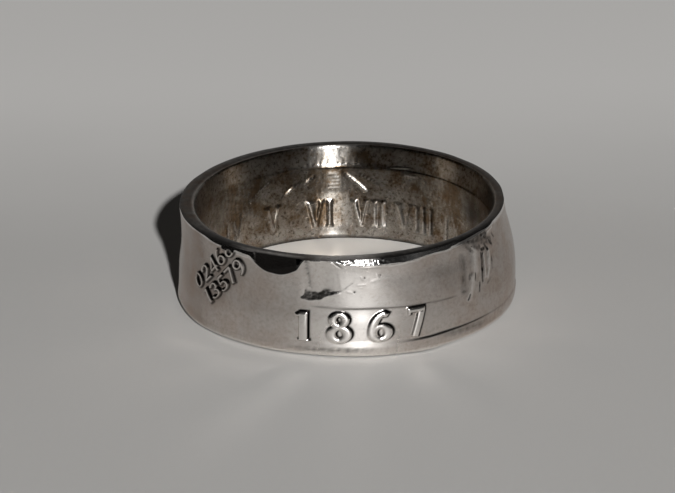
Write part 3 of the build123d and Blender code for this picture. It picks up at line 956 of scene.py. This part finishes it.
@dataclass(frozen=True)
class WornSilver:
    """Coin silver: a reflective white metal with fine scratches, and dark sulphide in its recesses."""

    name: str
    bright: str
    toned: str
    warm: str
    dark: str
    rough_clean: float
    rough_matt: float
    mottle: float
    patch_size: float
    brushing: float
    scratch_depth: float
    scratch_gap: float
    grain_depth: float
    specks: float

    def material(self) -> bpy.types.Material:
        """Builds the finish.

        Returns:
            Its node material, which reads the wear from the mesh's attributes.
        """
        made, milli = start_material(self.name)
        tree = made.node_tree
        dirt, tarnish, matt = (
            add_node(tree, "Attribute", attribute_name=tone).outputs["Fac"] for tone in TONES
        )

        # Tarnish lies in soft patches 1 to 2 mm across, broken up by a speckle of about 0.2 mm.
        patches = add_node(tree, "TexNoise", {
            "Vector": milli, "Scale": 1 / self.patch_size, "Detail": 5.0, "Roughness": 0.62,
        })
        speckle = add_node(tree, "TexNoise", {
            "Vector": milli, "Scale": 5.0, "Detail": 3.0, "Roughness": 0.7,
        })
        pitted = add_node(tree, "MapRange", {
            "Value": speckle, "From Min": 0.54, "From Max": 0.66, "To Max": self.specks,
        }, clamp=True)
        dirt = add_node(tree, "Math", {0: dirt, 1: pitted}, operation="MAXIMUM")
        cloud = add_node(tree, "Math", {0: patches, 1: speckle}, operation="ADD")
        swing = add_node(tree, "Math", {
            0: cloud, 1: self.mottle, 2: -self.mottle,
        }, operation="MULTIPLY_ADD")
        amount = add_node(tree, "Math", {0: tarnish, 1: swing}, operation="ADD", use_clamp=True)
        warmth = add_node(tree, "MapRange", {
            "Value": patches, "From Min": 0.42, "From Max": 0.62,
        }, clamp=True)
        brown = add_node(tree, "Mix", {
            "Factor": warmth, "A": linear(self.toned), "B": linear(self.warm),
        }, data_type="RGBA")
        hue = add_node(tree, "Mix", {
            "Factor": amount, "A": linear(self.bright), "B": brown,
        }, data_type="RGBA")
        # Dirt lays on the dark colour: tarnish in hollows, and painted shade too.
        colour = add_node(tree, "Mix", {
            "Factor": dirt, "A": hue, "B": linear(self.dark),
        }, data_type="RGBA")

        # Hairlines run round the band, thin across the height and long along the wall. Real ones are
        # some hundredths of a millimetre apart, and these are as coarse as they need to be to show.
        hair = add_node(tree, "Mapping", {"Vector": milli, "Scale": (0.30, 0.30, 1.0)})
        hairlines = add_node(tree, "TexNoise", {
            "Vector": hair, "Scale": 1 / self.scratch_gap, "Detail": 2.0, "Roughness": 0.6,
        })
        lined = add_node(tree, "Bump", {"Height": hairlines, "Distance": self.scratch_depth * MM})
        grained = add_node(tree, "Bump", {
            "Height": speckle, "Distance": self.grain_depth * MM, "Normal": lined,
        })
        dulled = add_node(tree, "Math", {0: speckle, 1: 0.2, 2: -0.1}, operation="MULTIPLY_ADD")
        dulled = add_node(tree, "Math", {0: matt, 1: dulled}, operation="ADD", use_clamp=True)
        rough = add_node(tree, "MapRange", {
            "Value": dulled, "To Min": self.rough_clean, "To Max": self.rough_matt,
        }, clamp=True)
        shader = add_node(tree, "BsdfPrincipled", {
            "Base Color": colour, "Metallic": 1.0, "Roughness": rough, "Normal": grained,
            "Anisotropic": self.brushing, "Anisotropic Rotation": 0.25,
        })
        add_node(tree, "OutputMaterial", {"Surface": shader})
        return made


@dataclass(frozen=True)
class Zone:
    """A window of one wall whose faces are divided once more: angles in degrees, heights in millimetres."""

    side: Side
    left: float
    right: float
    low: float
    high: float


@dataclass
class Hoop:
    """Where places of the plain hoop stand: angles from the front and the back, height, and side."""

    place: np.ndarray
    shape: BandShape

    def __post_init__(self) -> None:
        """Works out the angles, the share of the wall's thickness and the side of each place."""
        x, y, self.z = self.place.T
        radius, self.turn = np.hypot(x, y), np.arctan2(y, x)
        self.front, self.back = np.degrees(np.arctan2(x, -y)), np.degrees(np.arctan2(x, y))
        self.share = np.clip((radius - self.shape.bore_radius) / self.shape.shoulder_wall, 0.0, 1.0)
        self.on_outside = radius > self.shape.shoulder_radius - ON_WALL
        self.on_inside = radius < self.shape.bore_radius + ON_WALL
        self.on_edge = ~self.on_outside & ~self.on_inside
        self.on_top = self.on_edge & (self.z > self.shape.height / 2)
        self.at_brim = ~self.on_edge & (self.z > self.shape.height - AT_HEIGHT)

    def by_side(self, outside: np.ndarray, inside: np.ndarray, edge: np.ndarray | float) -> np.ndarray:
        """Picks each place's value by the side that it is on."""
        return np.where(self.on_outside, outside, np.where(self.on_inside, inside, edge))


@dataclass
class CoinBand:
    """The ring itself: a section spun into a hoop, refined where it is struck, and struck."""

    shape: BandShape
    finishes: dict[Side, WornSilver]
    node: str = "band"
    columns: int = 357
    outer_rows: int = 44
    inner_rows: int = 33
    edge_rows: int = 6
    edge_start: float = 5.95
    crown: float = 0.04
    crown_start: float = 5.6
    stretch_start: float = 3.70
    least_cut: float = 0.05
    cut_tarnish: float = 0.15
    sole_tarnish: float = 0.8
    edge_matt: float = 0.60
    outer_plan: tuple[tuple[float, float], ...] = (
        (0, 0.0), (4, 0.34), (7, 0.74), (13, 1.14), (39, 5.95), (44, 6.39),
    )
    inner_plan: tuple[tuple[float, float], ...] = (
        (0, 0.0), (2, 0.55), (5, 0.75), (22, 4.86), (25, 5.00), (28, 5.22), (31, 6.22), (32, 6.34),
        (33, 6.39),
    )
    zones: tuple[Zone, ...] = (
        Zone(Side.OUTSIDE, -64.0, 68.0, 1.14, 6.50),
        Zone(Side.OUTSIDE, -19.0, 28.0, 1.14, 3.40),
        Zone(Side.OUTSIDE, -62.0, -33.0, 2.40, 6.20),
        Zone(Side.OUTSIDE, -33.0, 13.0, 3.70, 6.50),
        Zone(Side.OUTSIDE, 41.0, 66.0, 2.50, 6.30),
        Zone(Side.INSIDE, -56.0, 56.0, 0.55, 5.22),
        Zone(Side.EDGE, -180.0, 180.0, -0.01, 0.01),
    )

    def build(self) -> bpy.types.Object:
        """Builds, strikes and dresses the band.

        Returns:
            The finished piece, which stands for the CAD node.
        """
        band = self.spin_section()
        self.space_rows(band)
        for zone in self.zones:
            self.refine(band, zone)
        self.strike(band)
        self.dress(band)
        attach(band, "root")
        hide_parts(self.node)
        return band

    def places(self, parts: bpy.types.bpy_prop_collection, name: str) -> np.ndarray:
        """Measures where parts of a mesh are.

        Args:
            parts: its vertices or its faces.
            name: what their place is called.

        Returns:
            Their places in millimetres, one row each.
        """
        flat = np.zeros(len(parts) * 3)
        parts.foreach_get(name, flat)
        return flat.reshape(-1, 3) / MM

    def spin_section(self) -> bpy.types.Object:
        """Divides a plain section and spins it round the axis.

        Returns:
            A hoop with straight walls.
        """
        bpy.ops.object.select_all(action="DESELECT")
        middle = self.shape.bore_radius + self.shape.shoulder_wall / 2
        bpy.ops.mesh.primitive_plane_add(size=1.0)
        band = bpy.context.object
        band.name = band.data.name = "coin_band"
        band.scale = (self.shape.shoulder_wall * MM, self.shape.height * MM, 1.0)
        band.location = (0.0, -middle * MM, self.shape.height / 2 * MM)
        band.rotation_euler = (math.pi / 2, 0.0, math.pi / 2)
        bpy.ops.object.transform_apply(location=True, rotation=True, scale=True)
        bpy.ops.object.mode_set(mode="EDIT")
        bpy.ops.mesh.select_mode(type="EDGE")
        bpy.ops.mesh.select_all(action="SELECT")
        bpy.ops.mesh.delete(type="ONLY_FACE")
        inside, outside = -self.shape.bore_radius, -self.shape.shoulder_radius
        for rows, test in (
            (self.outer_rows, lambda mid, run: abs(run.z) > 1e-6 and abs(mid.y / MM - outside) < 0.01),
            (self.inner_rows, lambda mid, run: abs(run.z) > 1e-6 and abs(mid.y / MM - inside) < 0.01),
            (self.edge_rows, lambda mid, run: abs(run.y) > 1e-6),
        ):
            self.select_edges(band, test)
            bpy.ops.mesh.subdivide(number_cuts=rows - 1)
        bpy.ops.mesh.select_all(action="SELECT")
        bpy.ops.mesh.spin(
            steps=self.columns, dupli=False, angle=2 * math.pi, center=(0.0, 0.0, 0.0), axis=(0.0, 0.0, 1.0),
        )
        bpy.ops.mesh.select_all(action="SELECT")
        bpy.ops.mesh.remove_doubles(threshold=0.002 * MM)
        bpy.ops.mesh.normals_make_consistent(inside=False)
        bpy.ops.object.mode_set(mode="OBJECT")
        return band

    def select_edges(self, band: bpy.types.Object, test: Callable[[Vector, Vector], bool]) -> None:
        """Selects edges in edit mode.

        Args:
            band: the piece, in edit mode.
            test: says whether an edge with this middle and run is selected.
        """
        bpy.ops.mesh.select_all(action="DESELECT")
        bpy.ops.object.mode_set(mode="OBJECT")
        vertices = band.data.vertices
        for edge in band.data.edges:
            start, end = (vertices[index].co for index in edge.vertices)
            edge.select = test((start + end) / 2, end - start)
        bpy.ops.object.mode_set(mode="EDIT")

    def space_rows(self, band: bpy.types.Object) -> None:
        """Sets the walls' rows closer together where the section turns.

        Args:
            band: the plain hoop.
        """
        place = self.places(band.data.vertices, "co")
        hoop = Hoop(place, self.shape)
        share = hoop.z / self.shape.height
        outer = np.interp(share * self.outer_rows, *np.array(self.outer_plan).T)
        inner = np.interp(share * self.inner_rows, *np.array(self.inner_plan).T)
        place[:, 2] = hoop.by_side(outer, inner, hoop.z)
        band.data.vertices.foreach_set("co", (place * MM).ravel())

    def refine(self, band: bpy.types.Object, zone: Zone) -> None:
        """Divides the faces of one zone once more.

        Args:
            band: the plain hoop.
            zone: where.
        """
        bpy.ops.object.mode_set(mode="EDIT")
        bpy.ops.mesh.select_mode(type="FACE")
        bpy.ops.mesh.select_all(action="DESELECT")
        bpy.ops.object.mode_set(mode="OBJECT")
        faces = band.data.polygons
        hoop = Hoop(self.places(faces, "center"), self.shape)
        around = hoop.back if zone.side is Side.INSIDE else hoop.front
        on_side = {Side.OUTSIDE: hoop.on_outside, Side.INSIDE: hoop.on_inside, Side.EDGE: ~hoop.on_inside}
        chosen = on_side[zone.side] & (around > zone.left) & (around < zone.right)
        faces.foreach_set("select", chosen & (hoop.z > zone.low) & (hoop.z < zone.high))
        bpy.ops.object.mode_set(mode="EDIT")
        bpy.ops.mesh.subdivide(number_cuts=1, quadcorner="STRAIGHT_CUT")
        bpy.ops.object.mode_set(mode="OBJECT")

    def strike(self, band: bpy.types.Object) -> None:
        """Strikes both walls, moves every vertex to the real band's surface, and keeps its tones.

        Args:
            band: the plain hoop.
        """
        mesh, shape = band.data, self.shape
        hoop, filed = Hoop(self.places(mesh.vertices, "co"), shape), FiledEdge(shape)
        foot = filed.foot(hoop.front)
        above = np.clip((hoop.z - self.edge_start) / (shape.height - self.edge_start), 0.0, 1.0)
        level, tuck = self.outside_levels(hoop, foot, above)
        outside = Relief(hoop.front, level, shape.shoulder_radius)
        OutsideStrike(outside, shape, filed).apply()
        inside = Relief(hoop.back, hoop.z, shape.bore_radius)
        InsideStrike(inside, shape).apply()

        limit = filed.limit(hoop.front, level) + filed.grit(outside, above)
        outer = np.minimum(shape.outer_radius(level) + outside.height, limit) - tuck
        inner = shape.inner_radius(hoop.z, hoop.back) - inside.height
        reed = 0.5 - 0.5 * np.cos(shape.reed_count * hoop.turn)
        place = self.set_out(hoop, level, hoop.by_side(outer, inner, self.edge_radius(hoop, filed)), reed)
        mesh.vertices.foreach_set("co", (place * MM).ravel())

        filed_here = hoop.on_outside & (shape.height - foot > self.least_cut)
        cut = filed_here & (hoop.z >= self.edge_start - AT_HEIGHT)
        clean, sides = self.top_wear(hoop)
        # The outside's dirt carries painted shade as well as tarnish.
        worn = np.where(cut & (above > 0.05), filed.stain_and_shade(outside), outside.dirt)
        soiled_brim = hoop.on_outside & hoop.at_brim & (np.abs(hoop.front) > 13.0)
        worn = np.where(soiled_brim, np.maximum(worn, 0.92 * (1.0 - clean)), worn)
        across, _ = outside.seat(0.0, 0.0)
        top_dirt = self.top_dirt(hoop, clean, sides, outside.pebble(across, 2.2 * hoop.share, 0.55))
        top_tarnish = 0.45 - 0.35 * clean + 0.55 * sides
        cut_matt = 0.10 + 0.75 * outside.arc(19.0, 29.0, 54.0, 64.0)
        tones = (
            hoop.by_side(worn, inside.dirt, np.where(hoop.on_top, top_dirt, 0.5 * reed)),
            hoop.by_side(
                np.where(cut, self.cut_tarnish, outside.tarnish), inside.tarnish,
                np.where(hoop.on_top, top_tarnish, self.sole_tarnish),
            ),
            hoop.by_side(np.where(cut, cut_matt, outside.matt), inside.matt, self.edge_matt),
        )
        for tone, values in zip(TONES, tones):
            mesh.attributes.new(tone, "FLOAT", "POINT").data.foreach_set("value", values.astype(np.float32))
        self.sort_faces(mesh, hoop, cut)
        self.mark_sharp(band, filed_here & (np.abs(hoop.z - self.edge_start) < AT_HEIGHT), hoop.at_brim)

    def outside_levels(
        self, hoop: Hoop, foot: np.ndarray, above: np.ndarray,
    ) -> tuple[np.ndarray, np.ndarray]:
        """Moves the outside's rows up and down.

        The upper rows follow the foot of the filed edge, so that its border is crisp, and the lowest
        ones go round the foot's outer corner.

        Args:
            hoop: the hoop's vertices.
            foot: height of the filed edge's foot.
            above: how far up the filed edge each vertex is, from 0 to 1.

        Returns:
            Each vertex's height, and how far the corner's rounding moves it in.
        """
        below = np.interp(hoop.z, (self.stretch_start, self.edge_start), (0.0, 1.0))
        stretched = self.stretch_start + below * (foot - self.stretch_start)
        level = np.where(hoop.z > self.stretch_start, stretched, hoop.z)
        level = np.where(hoop.z > self.edge_start, foot + above * (self.shape.height - foot), level)
        corner = self.shape.foot_round(hoop.front)
        quarter = np.clip(1.0 - hoop.z / corner, 0.0, 1.0) * math.pi / 2
        level = np.where(hoop.z < corner, corner * (1.0 - np.sin(quarter)), level)
        return np.where(hoop.on_outside, level, hoop.z), corner * (1.0 - np.cos(quarter))

    def edge_radius(self, hoop: Hoop, filed: FiledEdge) -> np.ndarray:
        """Spreads the top face and the underside between the two walls.

        Args:
            hoop: the hoop's vertices.
            filed: the filed edge.

        Returns:
            The radius of each place there.
        """
        shape, top = self.shape, np.full_like(hoop.z, self.shape.height)
        mouth = shape.inner_radius(top, hoop.back)
        ridge = np.minimum(shape.outer_radius(top), filed.limit(hoop.front, top + 1e-6))
        sole_in = shape.bore_radius - shape.inner_rim_step
        sole_out = shape.foot_radius - shape.foot_round(hoop.front)
        first, last = np.where(hoop.on_top, mouth, sole_in), np.where(hoop.on_top, ridge, sole_out)
        return first + hoop.share * (last - first)

    def set_out(self, hoop: Hoop, level: np.ndarray, radius: np.ndarray, reed: np.ndarray) -> np.ndarray:
        """Places the vertices, with the top crowned and tilted, and the coin's reeds under the foot.

        Args:
            hoop: the hoop's vertices.
            level: their heights on the struck band.
            radius: their distances from its axis.
            reed: how deep in a reed each is, from 0 to 1.

        Returns:
            Their places in millimetres, one row each.
        """
        shape, on_sole = self.shape, hoop.on_edge & ~hoop.on_top
        walls_down = ramp(self.crown_start, shape.height, hoop.z)
        level = level - self.crown * np.where(hoop.on_top, np.abs(2 * hoop.share - 1) ** 2.5, walls_down)
        level = level + shape.reed_depth * reed * between(hoop.share, 0.05, 0.30, 0.85, 1.0) * on_sole
        shift = shape.outer_shift(level) * hoop.by_side(1.0, 0.0, hoop.share)
        tilt = math.tan(math.radians(shape.top_tilt)) * np.cos(hoop.turn) * radius
        up = level + tilt * (hoop.z / shape.height) ** 3
        return np.stack([radius * np.cos(hoop.turn) + shift, radius * np.sin(hoop.turn), up], axis=1)

    def top_wear(self, hoop: Hoop) -> tuple[np.ndarray, np.ndarray]:
        """Finds where the top face is rubbed clean, and lightens the middle of its front, part wear and part
        painted highlight.

        Args:
            hoop: the hoop's vertices.

        Returns:
            How clean it is, with the painted highlight at the middle of the front, and how much each place
            is on its paler sides, from 0 to 1.
        """
        clean = 0.85 * hill(hoop.front, -27.0, 13.0, 4) * ramp(0.35, 0.65, hoop.share)
        beside = np.where(hoop.front > 0.0, hoop.front - 7.0, -hoop.front - 3.0)
        # The middle of the front is lightened: part wear, part painted highlight.
        return np.maximum(clean, hill(hoop.front, 0.5, 11.5, 4)), between(beside, 52.0, 75.0, 113.0, 143.0)

    def top_dirt(self, hoop: Hoop, clean: np.ndarray, sides: np.ndarray, uneven: np.ndarray) -> np.ndarray:
        """Blackens the top face beside its clean parts and at its outer border.

        Args:
            hoop: the hoop's vertices.
            clean: how clean each is, with the painted highlight.
            sides: how much each is on the paler sides.
            uneven: a pattern that breaks the dirt up.

        Returns:
            Its dirt.
        """
        black = hill(hoop.front, -44.0, 17.0, 4) + 0.3 * hill(hoop.front, 47.0, 22.0, 4)
        dirt = 0.84 - 0.84 * clean + 0.16 * black - 0.20 * sides + 0.18 * uneven
        return np.clip(dirt + 0.25 * ramp(0.70, 1.0, hoop.share) * (1.0 - clean), 0.0, 0.97)

    def sort_faces(self, mesh: bpy.types.Mesh, hoop: Hoop, cut: np.ndarray) -> None:
        """Gives each face the slot of its side: outside, inside, or filed edge.

        Args:
            mesh: the struck band.
            hoop: its vertices on the plain hoop.
            cut: whether the file reached each vertex.
        """
        for face in mesh.polygons:
            corners = list(face.vertices)
            if hoop.on_inside[corners].all():
                face.material_index = Side.INSIDE.value
            elif not hoop.on_outside[corners].all() or cut[corners].all():
                face.material_index = Side.EDGE.value
            else:
                face.material_index = Side.OUTSIDE.value

    def mark_sharp(self, band: bpy.types.Object, *rows: np.ndarray) -> None:
        """Smooths the shading everywhere but along rows of vertices.

        Args:
            band: the struck band.
            rows: for each row, whether each vertex is on it.
        """
        mesh = band.data
        pairs = np.zeros(len(mesh.edges) * 2, dtype=np.int64)
        mesh.edges.foreach_get("vertices", pairs)
        start, end = pairs.reshape(-1, 2).T
        sharp = np.zeros(len(mesh.edges), dtype=bool)
        for row in rows:
            sharp |= row[start] & row[end]
        bpy.ops.object.select_all(action="DESELECT")
        band.select_set(True)
        bpy.context.view_layer.objects.active = band
        bpy.ops.object.shade_smooth()
        mesh.attributes.new("sharp_edge", "BOOLEAN", "EDGE").data.foreach_set("value", sharp)
        mesh.update()

    def dress(self, band: bpy.types.Object) -> None:
        """Puts the finishes in their slots, without touching the faces' choice of slot.

        Args:
            band: the struck band.
        """
        chosen = np.zeros(len(band.data.polygons), dtype=np.int32)
        band.data.polygons.foreach_get("material_index", chosen)
        for side in Side:
            band.data.materials.append(self.finishes[side].material())
        band.data.polygons.foreach_set("material_index", chosen)
        band.data.update()


@dataclass
class Studio:
    """Plain pale paper, one small key light beside the camera, a dim room, and the camera itself."""

    target: tuple[float, float, float] = (-0.419, 7.594, 0.0)
    distance: float = 250.0
    elevation: float = 22.446
    roll: float = -0.523
    lens: float = 205.70
    paper_near: str = "B9B7B4"
    paper_far: str = "DCDAD7"
    paper_turn: tuple[float, float] = (8.0, 44.0)
    key_azimuth: float = 9.6
    key_elevation: float = 27.0
    key_distance: float = 1.10
    key_size: float = 0.036
    key_power: float = 15.5
    room_back: float = 0.225
    room_front: float = 0.006

    def build(self) -> None:
        """Makes the floor, the light, the room and the camera."""
        bpy.context.scene.view_settings.view_transform = "Standard"
        bpy.context.scene.cycles.blur_glossy = 0.0
        self.floor()
        self.key_light()
        self.room()
        self.camera()

    def floor(self) -> None:
        """Uncoated paper, pressed from pulp and never glazed, so that it scatters light evenly.

        Its fibre is too fine to show. What is drawn is painted light: the paper grows slowly lighter from in
        front of the ring to behind it, with a faint cloudiness.
        """
        bpy.ops.object.select_all(action="DESELECT")
        bpy.ops.mesh.primitive_plane_add(size=2.0)
        sheet = bpy.context.object
        sheet.name = sheet.data.name = "paper_floor"
        made, milli = start_material("uncoated_paper")
        tree = made.node_tree
        cloud = add_node(tree, "TexNoise", {"Vector": milli, "Scale": 0.05, "Detail": 4.0})
        depth = add_node(tree, "SeparateXYZ", {"Vector": milli}).outputs["Y"]
        depth = add_node(tree, "Math", {0: cloud, 1: 8.0, 2: depth}, operation="MULTIPLY_ADD")
        # The paper lightens towards the back: painted light.
        share = add_node(tree, "MapRange", {
            "Value": depth, "From Min": self.paper_turn[0], "From Max": self.paper_turn[1],
        }, clamp=True, interpolation_type="SMOOTHSTEP")
        colour = add_node(tree, "Mix", {
            "Factor": share, "A": linear(self.paper_near), "B": linear(self.paper_far),
        }, data_type="RGBA")
        shader = add_node(tree, "BsdfPrincipled", {"Base Color": colour, "Roughness": 0.9})
        add_node(tree, "OutputMaterial", {"Surface": shader})
        sheet.data.materials.append(made)

    def key_light(self) -> None:
        """A small round light just right of the camera, which throws the dark shadow to the left."""
        lamp = bpy.data.lights.new("key", "AREA")
        lamp.shape = "DISK"
        lamp.size = self.key_size
        lamp.energy = self.key_power
        turn, lift = math.radians(self.key_azimuth), math.radians(self.key_elevation)
        aim = Vector((math.sin(turn) * math.cos(lift), -math.cos(turn) * math.cos(lift), math.sin(lift)))
        stand = bpy.data.objects.new("key", lamp)
        stand.location = self.key_distance * aim
        stand.rotation_euler = (-aim).to_track_quat("-Z", "Y").to_euler()
        bpy.context.scene.collection.objects.link(stand)

    def room(self) -> None:
        """A dim room, nearly dark in front and lighter behind, which the metal reflects."""
        world = bpy.data.worlds.new("dim_room")
        world.use_nodes = True
        tree = world.node_tree
        tree.nodes.clear()
        look = add_node(tree, "TexCoord").outputs["Generated"]
        depth = add_node(tree, "SeparateXYZ", {"Vector": look}).outputs["Y"]
        share = add_node(tree, "MapRange", {
            "Value": depth, "From Min": 0.50, "From Max": 1.00,
            "To Min": self.room_front, "To Max": self.room_back,
        }, clamp=True)
        glow = add_node(tree, "Background", {"Color": linear("F4F0EC"), "Strength": share})
        add_node(tree, "OutputWorld", {"Surface": glow})
        bpy.context.scene.world = world

    def camera(self) -> None:
        """The camera: a long lens looking down at the ring, turned very slightly."""
        lift, roll = math.radians(self.elevation), math.radians(self.roll)
        forward = Vector((0.0, math.cos(lift), -math.sin(lift)))
        right = Vector((1.0, 0.0, 0.0))
        up = right.cross(forward)
        across = right * math.cos(roll) + up * math.sin(roll)
        upward = up * math.cos(roll) - right * math.sin(roll)
        place = (Vector(self.target) - forward * self.distance) * MM
        data = bpy.data.cameras.new("camera")
        data.lens = self.lens
        data.sensor_width = 36.0
        data.sensor_fit = "HORIZONTAL"
        data.clip_start = 0.01
        eye = bpy.data.objects.new("camera", data)
        turn = Matrix((across, upward, -forward)).transposed().to_4x4()
        eye.matrix_world = Matrix.Translation(place) @ turn
        bpy.context.scene.collection.objects.link(eye)
        bpy.context.scene.camera = eye


def finishes() -> dict[Side, WornSilver]:
    """Describes the finishes of one piece of silver: polished outside, tarnished inside, filed edges.

    Returns:
        The finish of each side.
    """
    return {
        # Coin silver, struck, folded and rubbed bright by wear: a white mirror with hairlines round
        # the band, and dark only beside the relief, where nothing rubs.
        Side.OUTSIDE: WornSilver(
            name="polished_coin_silver", bright="F5F0EB", toned="B0A59D", warm="AC9A8D", dark="120F0D",
            rough_clean=0.19, rough_matt=0.36, mottle=0.42, patch_size=1.6, brushing=0.55,
            scratch_depth=0.0012, scratch_gap=0.06, grain_depth=0.0014, specks=0.08,
        ),
        # The same silver, rough from the folding and never polished: brown and black sulphide in
        # patches over a grain like fine hammering, which breaks up what it reflects.
        Side.INSIDE: WornSilver(
            name="tarnished_coin_silver", bright="DCD8D2", toned="8A8073", warm="77644F", dark="14100D",
            rough_clean=0.20, rough_matt=0.34, mottle=1.20, patch_size=1.1, brushing=0.92,
            scratch_depth=0.0030, scratch_gap=0.07, grain_depth=0.0060, specks=0.55,
        ),
        # The same silver dressed with a fine file: flat and glossy where it is clean, with black
        # sulphide left in the file's marks.
        Side.EDGE: WornSilver(
            name="filed_coin_silver", bright="ECEAE8", toned="8C8276", warm="8A7058", dark="120F0D",
            rough_clean=0.10, rough_matt=0.28, mottle=0.80, patch_size=0.9, brushing=0.30,
            scratch_depth=0.0012, scratch_gap=0.05, grain_depth=0.0022, specks=0.30,
        ),
    }


def main() -> None:
    """Builds the studio and the ring."""
    logging.basicConfig(level=logging.INFO, format="%(name)s: %(message)s")
    hole = next(mount for mount in frame["record"]["mounts"] if mount["name"] == "finger_hole")
    Studio().build()
    log.info("studio: floor, light, room and camera")
    shape = BandShape(bore_radius=hole["dims"]["r_mm"], height=6.39)
    band = CoinBand(shape=shape, finishes=finishes()).build()
    log.info("band: %d vertices, %d faces", len(band.data.vertices), len(band.data.polygons))


if __name__ == "__main__":
    main()
